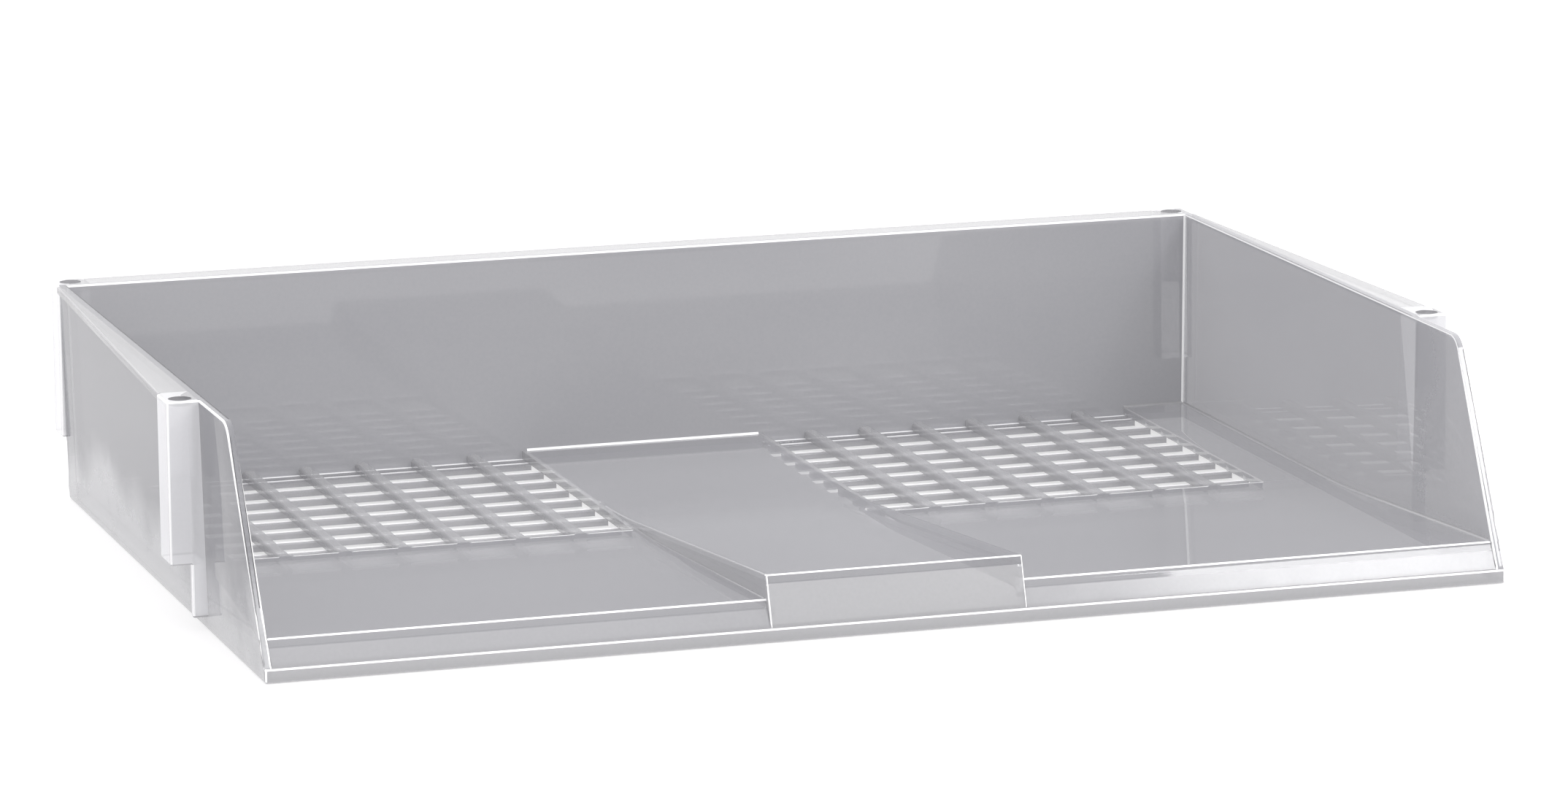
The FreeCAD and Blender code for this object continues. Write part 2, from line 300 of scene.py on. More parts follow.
@dataclass(frozen=True)
class ClearPolystyrene:
    """Glossy moulded sheet, faintly smoky and a little cloudy.

    Tone drifts at random from shade to haze. The glow is painted light, an even
    emission that lifts the sheet's shaded parts, and foot is the height below which
    the tone turns towards haze, a painted reflection along the tray's foot, if it does.
    """

    name: str
    shade: Colour
    haze: Colour
    roughness: float
    alpha: float
    # painted glow: emission standing in for light on shaded parts
    glow: float = 0.0
    # height of the painted reflection along the foot
    foot: float = 0.0
    glow_tint: tuple[float, ...] = (0.955, 0.95, 1.0, 1.0)
    drift_scale: float = 7.0
    drift_stretch: tuple[float, float, float] = (1.0, 1.6, 2.4)
    speck_scale: float = 900.0
    speck_share: float = 0.2
    speck_height: float = 0.004 * MM
    speck_strength: float = 0.25
    reflection_wander: float = 30.0 * MM
    reflection_share: float = 0.45
    wear_scale: float = 160.0
    least_wear: float = 0.6
    most_wear: float = 1.5

    def material(self) -> bpy.types.Material:
        """Builds the sheet's material.

        Returns:
            The material, with drifting tone, fine specks and a gloss that varies.
        """
        graph = NodeGraph(self.name)
        shader = graph.add("ShaderNodeBsdfPrincipled")
        shader.inputs["IOR"].default_value = POLYSTYRENE_IOR
        shader.inputs["Alpha"].default_value = self.alpha
        drift = graph.noise(self.drift_scale, 2.0, self.drift_stretch)
        speck = graph.noise(self.speck_scale, 1.0)
        tone = graph.mean(drift, speck, self.speck_share)
        # painted reflection: tone turns towards haze near the foot
        if self.foot:
            foot_reflection = graph.painted_foot_reflection(self.foot, self.reflection_wander)
            tone = graph.mean(tone, foot_reflection, self.reflection_share)
        graph.link(graph.ramp(tone, self.shade, self.haze), shader.inputs["Base Color"])
        wear = graph.noise(self.wear_scale, 3.0)
        gloss = graph.span(wear, self.roughness * self.least_wear, self.roughness * self.most_wear)
        graph.link(gloss, shader.inputs["Roughness"])
        relief = graph.bump(speck, self.speck_height, self.speck_strength)
        graph.link(relief, shader.inputs["Normal"])
        # painted glow, tinted faintly blue
        if self.glow:
            shader.inputs["Emission Color"].default_value = self.glow_tint
            shader.inputs["Emission Strength"].default_value = self.glow
        graph.link(shader.outputs["BSDF"], graph.output.inputs["Surface"])
        return graph.material


@dataclass(frozen=True)
class PaleFloor:
    """Plain white studio floor."""

    name: str = "studio_floor"
    shade: Colour = (0.37, 0.366, 0.37)
    grain_share: float = 0.99
    grain_scale: float = 40.0
    roughness: float = 0.9
    glow: float = 0.60

    def material(self) -> bpy.types.Material:
        """Builds the floor's material.

        Returns:
            The material, matt and with a faint paper grain.
        """
        graph = NodeGraph(self.name)
        shader = graph.add("ShaderNodeBsdfPrincipled")
        shader.inputs["Specular IOR Level"].default_value = 0.0
        grain = graph.noise(self.grain_scale, 2.0)
        soft = tuple(self.grain_share * part for part in self.shade)
        graph.link(graph.ramp(grain, self.shade, soft), shader.inputs["Base Color"])
        shader.inputs["Roughness"].default_value = self.roughness
        shader.inputs["Emission Color"].default_value = (1.0, 1.0, 1.0, 1.0)
        shader.inputs["Emission Strength"].default_value = self.glow
        graph.link(shader.outputs["BSDF"], graph.output.inputs["Surface"])
        return graph.material


# Lit and shaded copies of one clear plastic: shade, haze and painted glow are set part by part to
# stand in for light and shade.
FINISHES_WITH_PAINTED_LIGHT = {
    # floors, deck, left flank and bars: the base copy, lifted by painted glow
    Surface.SHEET: ClearPolystyrene(
        "clear_sheet", (0.082, 0.082, 0.092), (0.112, 0.112, 0.122), 0.03, 0.64, 0.165),
    # painted highlight on rounded edges
    Surface.EDGE: ClearPolystyrene(
        "painted_edge_highlight", (0.76, 0.76, 0.77), (0.84, 0.84, 0.84), 0.14, 0.95, 0.10),
    # painted highlight on bar tops
    Surface.CREST: ClearPolystyrene(
        "painted_crest_highlight", (0.80, 0.80, 0.81), (0.88, 0.88, 0.88), 0.14, 1.0, 0.15),
    # softer painted highlight
    Surface.SOFT_HIGHLIGHT: ClearPolystyrene(
        "painted_soft_highlight", (0.40, 0.40, 0.41), (0.46, 0.46, 0.47), 0.10, 0.70),
    # posts and webs: a lighter copy with painted glow
    Surface.BLOCK: ClearPolystyrene(
        "clear_block", (0.42, 0.42, 0.43), (0.48, 0.48, 0.49), 0.07, 0.64, 0.28),
    # ribs, label face, rim and right deck flank: their own shaded copy
    Surface.FRONT: ClearPolystyrene(
        "clear_front", (0.335, 0.336, 0.348), (0.385, 0.385, 0.396), 0.06, 0.64),
    # painted shade in socket bores
    Surface.BORE: ClearPolystyrene(
        "painted_bore_shade", (0.22, 0.22, 0.23), (0.28, 0.28, 0.29), 0.15, 0.80),
    # front faces: their own shaded copy, with rougher gloss
    Surface.FACE: ClearPolystyrene(
        "clear_face", (0.27, 0.271, 0.286), (0.32, 0.32, 0.333), 0.13, 0.64),
    # back wall: a more opaque shaded copy with painted glow
    Surface.BACK: ClearPolystyrene(
        "clear_back", (0.210, 0.211, 0.227), (0.250, 0.250, 0.263), 0.03, 0.82, 0.095),
    # right side wall: a copy lifted by painted glow
    Surface.WALL: ClearPolystyrene(
        "clear_wall", (0.175, 0.176, 0.191), (0.215, 0.215, 0.228), 0.02, 0.71, 0.13),
    # ledges: their own shaded copy
    Surface.LEDGE: ClearPolystyrene(
        "clear_ledge", (0.37, 0.37, 0.38), (0.41, 0.41, 0.42), 0.08, 0.60),
    Surface.JOINT: ClearPolystyrene(
        "clear_joint", (0.80, 0.80, 0.81), (0.82, 0.82, 0.83), 0.02, 0.0),
    # left side wall: a darker copy with painted glow and a painted reflection towards its foot
    Surface.LEFT_WALL: ClearPolystyrene(
        "clear_left_wall", (0.120, 0.121, 0.134), (0.420, 0.421, 0.432), 0.05, 0.71, 0.07,
        foot=32.0 * MM),
}


class FinishSet:
    """The tray's finishes, one for each kind of surface: lit and shaded copies of one plastic,
    with painted highlights, shade and glow.
    """

    def __init__(self) -> None:
        """Builds each finish once."""
        self.materials = {surface: finish.material() for surface, finish in FINISHES_WITH_PAINTED_LIGHT.items()}

    def dress(self, data: bpy.types.Mesh) -> None:
        """Gives a mesh the finishes that its faces name, and no others.

        Args:
            data: the mesh, whose material indices are surface values.
        """
        named = [polygon.material_index for polygon in data.polygons]
        used = sorted(set(named))
        for value in used:
            data.materials.append(self.materials[Surface(value)])
        data.polygons.foreach_set("material_index", [used.index(value) for value in named])


# ---------------------------------------------------------------- moulding


class SolidField:
    """Says which regions of the tray hold a point."""

    def __init__(self, nodes: dict[str, bpy.types.Object]) -> None:
        """Reads every region's closed mesh.

        Args:
            nodes: the frame's objects by node name.
        """
        self.trees: dict[str, BVHTree] = {}
        self.boxes: dict[str, Box] = {}
        self.bits: dict[str, list[Box]] = {}
        for name, body in nodes.items():
            mesh = body.data
            points = [vertex.co.copy() for vertex in mesh.vertices]
            faces = [tuple(face.vertices) for face in mesh.polygons]
            self.trees[name] = BVHTree.FromPolygons(points, faces)
            low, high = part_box(name)
            self.boxes[name] = (Vector(low), Vector(high))
            self.bits[name] = self.bit_boxes(points, faces)

    def bit_boxes(self, points: list[Vector], faces: list[tuple[int, ...]]) -> list[Box]:
        """Boxes of a region's separate solids.

        Args:
            points: the region's corners.
            faces: corner indices of each face.

        Returns:
            One box for each solid that stands apart.
        """
        places: dict[tuple[float, ...], int] = {}
        same = [places.setdefault(tuple(round(part, 7) for part in point), index)
                for index, point in enumerate(points)]
        leader = list(range(len(points)))

        def root(index: int) -> int:
            """Leading corner of a corner's solid."""
            while leader[index] != index:
                index = leader[index]
            return index

        for face in faces:
            for corner in face[1:]:
                leader[root(same[corner])] = root(same[face[0]])
        groups: dict[int, list[Vector]] = {}
        for index, point in enumerate(points):
            groups.setdefault(root(same[index]), []).append(point)
        return [(Vector([min(point[i] for point in group) for i in range(3)]),
                 Vector([max(point[i] for point in group) for i in range(3)]))
                for group in groups.values()]

    def holds(self, point: Vector, skip: tuple[str, ...]) -> bool:
        """Whether any region but the skipped ones holds a point.

        Args:
            point: the place to test.
            skip: node names to leave out.

        Returns:
            True inside a region.
        """
        heading = Vector((0.3511, 0.2473, 0.9031)).normalized()
        for name, (low, high) in self.boxes.items():
            if name in skip or not all(low[i] <= point[i] <= high[i] for i in range(3)):
                continue
            start = point.copy()
            count = 0
            while True:
                hit, _, _, _ = self.trees[name].ray_cast(start, heading)
                if hit is None:
                    break
                count += 1
                start = hit + heading * 1e-6
            if count % 2:
                return True
        return False

    def near(self, name: str) -> list[str]:
        """Names of the regions whose boxes touch a region's box."""
        low, high = self.boxes[name]
        gap = 0.1 * MM
        return [other for other, (start, end) in self.boxes.items() if other != name
                and all(start[i] < high[i] + gap and end[i] > low[i] - gap for i in range(3))]

    def hit(self, names: tuple[str, ...], start: Vector, heading: Vector) -> Vector | None:
        """First point that a ray meets on some regions.

        Args:
            names: node names to test.
            start: where the ray starts.
            heading: its direction.

        Returns:
            The nearest point met, or None.
        """
        found = [self.trees[name].ray_cast(start, heading)[0] for name in names]
        found = [point for point in found if point is not None]
        return min(found, key=lambda point: (point - start).length) if found else None


@dataclass(frozen=True)
class Moulding:
    """How one region is rounded and finished.

    Attributes:
        radius: width of the rounding on free edges.
        body: surface of the faces.
        edge: surface of the rounding, a painted highlight.
        against: regions whose touch doesn't keep an edge from being free.
        rounded: whether free edges are rounded.
        joined: whether faces wholly against a neighbour are left clear.
        sockets: whether the region has bores for riser rods, given painted shade.
        soft_outside: whether painted highlight on rounding facing away from the tray is dimmer.
        painted_rear_highlight: width of a painted highlight strip along the rear edge.
        soft_behind: place along the tray behind which painted highlight on side rounding is
            dimmer.
        trim: span across the tray that the region is cut to.
    """

    radius: float = 0.5 * MM
    body: Surface = Surface.SHEET
    edge: Surface = Surface.EDGE
    against: tuple[str, ...] = ()
    rounded: bool = True
    joined: bool = True
    sockets: bool = False
    soft_outside: bool = False
    painted_rear_highlight: float = 0.0
    soft_behind: float | None = None
    trim: tuple[float, float] | None = None


@dataclass
class Moulder:
    """Turns plain regions into moulded pieces with rounded free edges."""

    nodes: dict[str, bpy.types.Object]
    solids: SolidField
    finishes: FinishSet
    bores: list[tuple[Vector, float]]
    sharp: float = math.radians(35.0)
    flat: float = math.radians(0.4)
    smooth: float = math.radians(28.0)
    mouth: float = 1.6 * MM
    tilt: float = 0.22
    reach: float = 0.25 * MM
    joint_reach: float = 0.15 * MM
    least_cut: float = 0.3 * MM
    # shares of a top's depth where the softer and the bright painted highlights begin
    soft_share: float = 0.25
    bright_share: float = 0.55

    def blank(self, node: str) -> bmesh.types.BMesh:
        """Clean mesh of a region.

        Args:
            node: its name.

        Returns:
            The mesh, with flat faces made whole.
        """
        mesh = bmesh.new()
        mesh.from_mesh(self.nodes[node].data)
        bmesh.ops.remove_doubles(mesh, verts=mesh.verts, dist=1e-6)
        bmesh.ops.dissolve_limit(mesh, angle_limit=self.flat, verts=mesh.verts, edges=mesh.edges)
        return mesh

    def cut(self, mesh: bmesh.types.BMesh, place: Vector, heading: Vector,
            clear: bool = False) -> list[bmesh.types.BMEdge]:
        """Cuts edges into a mesh along a plane.

        Args:
            mesh: the mesh to cut.
            place: a point on the plane.
            heading: the plane's normal.
            clear: whether what lies beyond the plane is taken away.

        Returns:
            The new edges.
        """
        geometry = list(mesh.verts) + list(mesh.edges) + list(mesh.faces)
        made = bmesh.ops.bisect_plane(mesh, geom=geometry, dist=1e-6, plane_co=place,
                                      plane_no=heading, clear_outer=clear)
        return [item for item in made["geom_cut"] if isinstance(item, bmesh.types.BMEdge)]

    def split_at_neighbours(self, mesh: bmesh.types.BMesh, node: str) -> None:
        """Adds edges where a neighbour's box begins or ends on a region.

        Args:
            mesh: the region's mesh.
            node: its name.
        """
        low, high = self.solids.boxes[node]
        for axis in range(3):
            heading = Vector([float(i == axis) for i in range(3)])
            cuts = {round(corner[axis], 5) for other in self.solids.near(node)
                    for bit in self.solids.bits[other] for corner in bit}
            for place in sorted(cuts):
                if low[axis] + self.least_cut < place < high[axis] - self.least_cut:
                    self.cut(mesh, heading * place, heading)

    def is_free(self, edge: bmesh.types.BMEdge, skip: tuple[str, ...]) -> bool:
        """Whether an edge stands clear of every other region.

        Args:
            edge: the edge to test.
            skip: node names that don't count.

        Returns:
            True for a sharp outward edge with nothing against it.
        """
        if len(edge.link_faces) != 2 or not edge.is_convex:
            return False
        if edge.calc_face_angle(0.0) < self.sharp:
            return False
        start, end = (vertex.co for vertex in edge.verts)
        along = (end - start).normalized()
        middle = (start + end) / 2.0
        first, second = edge.link_faces
        probes = [first.normal + second.normal]
        for face in (first, second):
            into = face.normal.cross(along)
            centre = face.calc_center_median() - middle
            into = into if into.dot(centre) > 0 else -into
            probes.append(face.normal + into)
        return not any(self.solids.holds(middle + probe.normalized() * self.reach, skip)
                       for probe in probes)

    def mould(self, node: str, form: Moulding, painted_crest: bool = False) -> bpy.types.Object:
        """Makes one moulded piece that stands for a region.

        Args:
            node: the region it stands for.
            form: its rounding and finishes.
            painted_crest: whether each bit's top gets a painted highlight, brightest along its
                rear edge.

        Returns:
            The finished piece, riding on the tray's one body.
        """
        mesh = self.blank(node)
        if form.trim:
            self.trim_ends(mesh, form.trim)
        self.split_at_neighbours(mesh, node)
        mesh.normal_update()
        for face in mesh.faces:
            joint = form.joined and self.is_joint(face, node)
            face.material_index = Surface.JOINT.value if joint else form.body.value
        if form.rounded:
            free = [edge for edge in mesh.edges if self.is_free(edge, (node,) + form.against)
                    and not self.on_bore(edge) and not self.on_cut(edge, form.trim)]
            # rounding on free edges takes the edge surface, a painted highlight
            bmesh.ops.bevel(mesh, geom=free, offset=form.radius, offset_type="OFFSET",
                            segments=2, profile=0.5, affect="EDGES", clamp_overlap=False,
                            material=form.edge.value)
        # painted highlight is dimmed on rounding that faces down, that lies behind a place along
        # the side, or that faces out
        self.soften(mesh, lambda face: face.normal.z < -self.tilt)
        if form.soft_behind is not None:
            self.soften(mesh, lambda face: abs(face.normal.x) > self.tilt
                        and face.calc_center_median().y > form.soft_behind)
        if form.soft_outside:
            outward = self.outward(node)
            self.soften(mesh, lambda face: face.normal.dot(outward) > self.tilt)
        # painted highlight along the bar tops
        if painted_crest:
            self.paint_crest_highlights(mesh, node)
        # painted highlight strip along the rear edge
        if form.painted_rear_highlight:
            self.paint_rear_highlight(mesh, node, form.painted_rear_highlight)
        # painted shade in the socket bores
        if form.sockets:
            self.paint_bore_shade(mesh)
        piece = self.settle(node + "_moulded", mesh)
        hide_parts(node)
        return piece

    def trim_ends(self, mesh: bmesh.types.BMesh, span: tuple[float, float]) -> None:
        """Cuts a mesh to a span across the tray and closes the cuts.

        Args:
            mesh: the region's mesh.
            span: lowest and highest X that stay.
        """
        for place, heading in zip(span, (-1.0, 1.0)):
            rims = self.cut(mesh, Vector((place, 0.0, 0.0)), Vector((heading, 0.0, 0.0)),
                            clear=True)
            bmesh.ops.holes_fill(mesh, edges=rims)

    def paint_rear_highlight(self, mesh: bmesh.types.BMesh, node: str, width: float) -> None:
        """Paints a highlight strip on the top along its rear edge, in front of each slot.

        Args:
            mesh: the region's mesh.
            node: its name.
            width: the strip's width.
        """
        rear = self.solids.boxes[node][1].y
        self.cut(mesh, Vector((0.0, rear - width, 0.0)), Vector((0.0, 1.0, 0.0)))
        mesh.normal_update()
        for face in mesh.faces:
            centre = face.calc_center_median()
            behind = Vector((centre.x, rear + width, centre.z - 0.5 * MM))
            upward = face.normal.z > 0.3 and centre.y > rear - width
            if upward and not self.solids.holds(behind, (node,)):
                face.material_index = Surface.EDGE.value

    def is_joint(self, face: bmesh.types.BMFace, node: str) -> bool:
        """Whether the plastic runs on behind a face.

        Args:
            face: the face to test.
            node: the region it belongs to.

        Returns:
            True for a face wholly against a neighbour.
        """
        centre = face.calc_center_median()
        probes = [centre] + [centre.lerp(vertex.co, 0.9) for vertex in face.verts]
        beyond = face.normal * self.joint_reach
        return all(self.solids.holds(probe + beyond, (node,)) for probe in probes)

    def on_cut(self, edge: bmesh.types.BMEdge, span: tuple[float, float] | None) -> bool:
        """Whether an edge lies on a trimmed end."""
        return span is not None and any(abs(vertex.co.x - place) < 0.01 * MM
                                        for vertex in edge.verts for place in span)

    def soften(self, mesh: bmesh.types.BMesh,
               fits: Callable[[bmesh.types.BMFace], bool]) -> None:
        """Dims the painted highlight on some faces of the rounding, giving them the softer painted
        highlight.

        Args:
            mesh: the region's mesh.
            fits: the test that picks the faces.
        """
        mesh.normal_update()
        for face in mesh.faces:
            if face.material_index == Surface.EDGE.value and fits(face):
                face.material_index = Surface.SOFT_HIGHLIGHT.value

    def outward(self, node: str) -> Vector:
        """Direction in which a region along the tray's rim faces out.

        Args:
            node: its name.

        Returns:
            A unit vector.
        """
        low, high = self.solids.boxes[node]
        if high.x - low.x > high.y - low.y:
            return Vector((0.0, 1.0, 0.0))
        return Vector((math.copysign(1.0, low.x + high.x), 0.0, 0.0))

    def on_bore(self, edge: bmesh.types.BMEdge) -> bool:
        """Whether an edge lies on the rim of a socket's bore."""
        middle = (edge.verts[0].co + edge.verts[1].co) / 2.0
        return any((middle - axis).xy.length < radius + 0.2 * MM for axis, radius in self.bores)

    def paint_bore_shade(self, mesh: bmesh.types.BMesh) -> None:
        """Paints shade on the mouth and the bottom of each socket's bore.

        Args:
            mesh: the post's mesh.
        """
        top = self.bores[0][0].z
        self.cut(mesh, Vector((0.0, 0.0, top - self.mouth)), Vector((0.0, 0.0, 1.0)))
        mesh.normal_update()
        for face in mesh.faces:
            centre = face.calc_center_median()
            if any((centre - axis).xy.length < radius + 0.05 * MM
                   for axis, radius in self.bores):
                mouth = top - self.mouth < centre.z < top - 0.05 * MM
                if mouth or face.normal.z > 0.9:
                    face.material_index = Surface.BORE.value

    def paint_crest_highlights(self, mesh: bmesh.types.BMesh, node: str) -> None:
        """Paints a highlight on each solid's top, brightest along its rear edge and fading to the
        front.

        Args:
            mesh: the region's mesh.
            node: its name.
        """
        bits = self.solids.bits[node]
        for low, high in bits:
            for share in (self.soft_share, self.bright_share):
                place = Vector((0.0, low.y + share * (high.y - low.y), 0.0))
                self.cut(mesh, place, Vector((0.0, 1.0, 0.0)))
        mesh.normal_update()
        for face in mesh.faces:
            if face.normal.z < 0.2:
                face.material_index = Surface.SHEET.value
                continue
            place = face.calc_center_median().y
            low, high = next(bit for bit in bits
                             if bit[0].y - 0.01 * MM <= place <= bit[1].y + 0.01 * MM)
            share = (place - low.y) / (high.y - low.y)
            # painted highlight bands: none at the front, softer in the middle, bright at the rear
            lit = Surface.SOFT_HIGHLIGHT if share > self.soft_share else Surface.SHEET
            lit = Surface.CREST if share > self.bright_share else lit
            face.material_index = lit.value

    def settle(self, name: str, mesh: bmesh.types.BMesh) -> bpy.types.Object:
        """Turns a mesh into a dressed piece on the tray's body.

        Args:
            name: the piece's name.
            mesh: its mesh, which is freed.

        Returns:
            The piece.
        """
        data = bpy.data.meshes.new(name)
        mesh.normal_update()
        mesh.to_mesh(data)
        mesh.free()
        data.set_sharp_from_angle(angle=self.smooth)
        data.polygons.foreach_set("use_smooth", [True] * len(data.polygons))
        self.finishes.dress(data)
        piece = bpy.data.objects.new(name, data)
        bpy.context.scene.collection.objects.link(piece)
        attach(piece, "root")
        LOG.info("%s: %d faces", name, len(data.polygons))
        return piece


@dataclass
class CornerLine:
    """Concave fillet along a line where two regions meet."""

    name: str
    corners: list[Vector]
    toward_first: Vector
    toward_second: Vector
    radius: float
    # the fillet carries a soft painted highlight unless told otherwise
    surface: Surface = Surface.SOFT_HIGHLIGHT
    steps: int = 4

    def mesh(self) -> bmesh.types.BMesh:
        """Sweeps the fillet's section along its corners.

        Returns:
            A closed mesh: a corner, a hollow arc, and two end caps.
        """
        mesh = bmesh.new()
        rings = []
        for corner in self.corners:
            centre = corner + (self.toward_first + self.toward_second) * self.radius
            root = corner - (self.toward_first + self.toward_second) * 0.05 * MM
            ring = [mesh.verts.new(root)]
            for step in range(self.steps + 1):
                turn = math.pi / 2.0 * step / self.steps
                offset = self.toward_first * math.cos(turn) + self.toward_second * math.sin(turn)
                ring.append(mesh.verts.new(centre - offset * self.radius))
            rings.append(ring)
        count = self.steps + 2
        for here, there in zip(rings[:-1], rings[1:]):
            for index in range(count):
                after = (index + 1) % count
                mesh.faces.new((here[index], here[after], there[after], there[index]))
        mesh.faces.new(rings[0])
        mesh.faces.new(list(reversed(rings[-1])))
        bmesh.ops.recalc_face_normals(mesh, faces=mesh.faces)
        for face in mesh.faces:
            face.material_index = self.surface.value
        return mesh


# ---------------------------------------------------------------- sub-assemblies


@dataclass
class Walls:
    """Back wall and the two side walls with their sloping fronts."""

    moulder: Moulder
    # Each wall takes its own shaded copy of the plastic with painted glow: the back wall's is the
    # most opaque, and the left wall's is darker with a painted reflection towards its foot.
    back: Moulding = Moulding(radius=0.5 * MM, body=Surface.BACK, joined=False)
    left: Moulding = Moulding(radius=0.5 * MM, body=Surface.LEFT_WALL, joined=False)
    right: Moulding = Moulding(radius=0.5 * MM, body=Surface.WALL, joined=False)

    def build(self) -> None:
        """Moulds the three walls."""
        self.moulder.mould("back_wall", self.back)
        self.moulder.mould("left_side_wall", self.left)
        self.moulder.mould("right_side_wall", self.right)


@dataclass
class Floor:
    """Rising front floor and the level strips beside the grids."""

    moulder: Moulder
    # the ramp takes a painted highlight strip at its rear edge, the margin's rounding a softer
    # painted highlight
    ramp: Moulding = Moulding(radius=0.45 * MM, painted_rear_highlight=1.1 * MM)
    margin: Moulding = Moulding(radius=0.35 * MM, edge=Surface.SOFT_HIGHLIGHT)

    def build(self) -> None:
        """Moulds both halves of the floor."""
        for side in Side:
            self.moulder.mould(side.prefix + "floor_ramp", self.ramp)
            self.moulder.mould(side.prefix + "floor_margin", self.margin)


@dataclass
class VentGrids:
    """Round-topped ribs over cross bars, one grid on each side."""

    moulder: Moulder
    # the ribs take their own shaded copy of the plastic
    rib: Moulding = Moulding(body=Surface.FRONT, rounded=False)
    bar_radius: float = 0.35 * MM
    tuck: float = 0.3 * MM

    def span(self, side: Side) -> tuple[float, float]:
        """Reach of the bars, from just under the deck's border to just under the margin.

        Args:
            side: which grid.

        Returns:
            Lowest and highest X.
        """
        border = min(self.moulder.solids.bits[side.prefix + "grid_ribs"],
                     key=lambda bit: abs(bit[0].x + bit[1].x))
        low, high = self.moulder.solids.boxes[side.prefix + "floor_margin"]
        if side is Side.RIGHT:
            return border[1].x - self.tuck, low.x + self.tuck
        return high.x - self.tuck, border[0].x + self.tuck

    def build(self) -> None:
        """Moulds the ribs and the bars of both grids."""
        for side in Side:
            ribs = side.prefix + "grid_ribs"
            self.moulder.mould(ribs, self.rib)
            bar = Moulding(radius=self.bar_radius, against=(ribs,), trim=self.span(side))
            # bar tops carry a painted highlight, brightest at the rear
            self.moulder.mould(side.prefix + "grid_bars", bar, painted_crest=True)


@dataclass
class CentreDeck:
    """Raised deck with its side faces and its label face."""

    moulder: Moulder
    radius: float = 0.38 * MM
    bright_share: float = 0.06

    def build(self) -> None:
        """Moulds the deck's four pieces, the painted highlight on its side edges bright only near
        the front.
        """
        low, high = self.moulder.solids.boxes["centre_deck"]
        soft_behind = low.y + self.bright_share * (high.y - low.y)
        sheet = Moulding(radius=self.radius, soft_behind=soft_behind)
        self.moulder.mould("centre_deck", sheet)
        self.moulder.mould("left_deck_flank", sheet)
        # the right flank and the label face take their own shaded copy of the plastic
        self.moulder.mould("right_deck_flank", replace(sheet, body=Surface.FRONT))
        self.moulder.mould("label_face", Moulding(radius=self.radius, body=Surface.FRONT))


@dataclass
class FrontEdge:
    """Sloping front faces and the rim below them."""

    moulder: Moulder
    # the front faces and the rim each take their own shaded copy of the plastic
    face: Moulding = Moulding(radius=0.45 * MM, body=Surface.FACE)
    rim: Moulding = Moulding(radius=0.45 * MM, body=Surface.FRONT)

    def build(self) -> None:
        """Moulds the faces and the rim."""
        for node in ("left_front_face", "right_front_face"):
            self.moulder.mould(node, self.face)
        self.moulder.mould("front_rim", self.rim)


@dataclass
class LedgesAndPosts:
    """Top ledges, riser posts with their sockets, and the webs below."""

    moulder: Moulder
    # ledges take their own shaded copy, their outward rounding a softer painted highlight; posts
    # and webs a lighter copy with painted glow, the bores painted shade
    ledge: Moulding = Moulding(radius=0.45 * MM, body=Surface.LEDGE, joined=False,
                               soft_outside=True)
    post: Moulding = Moulding(radius=0.45 * MM, body=Surface.BLOCK, sockets=True)
    web: Moulding = Moulding(radius=0.6 * MM, body=Surface.BLOCK)

    def build(self) -> None:
        """Moulds the ledges, posts and webs."""
        self.moulder.mould("back_ledge", self.ledge)
        for side in Side:
            self.moulder.mould(side.prefix + "side_ledge", self.ledge)
            self.moulder.mould(side.prefix + "front_riser_post", self.post)
            self.moulder.mould(side.prefix + "rear_riser_post", self.post)
            self.moulder.mould(side.prefix + "post_web", self.web)


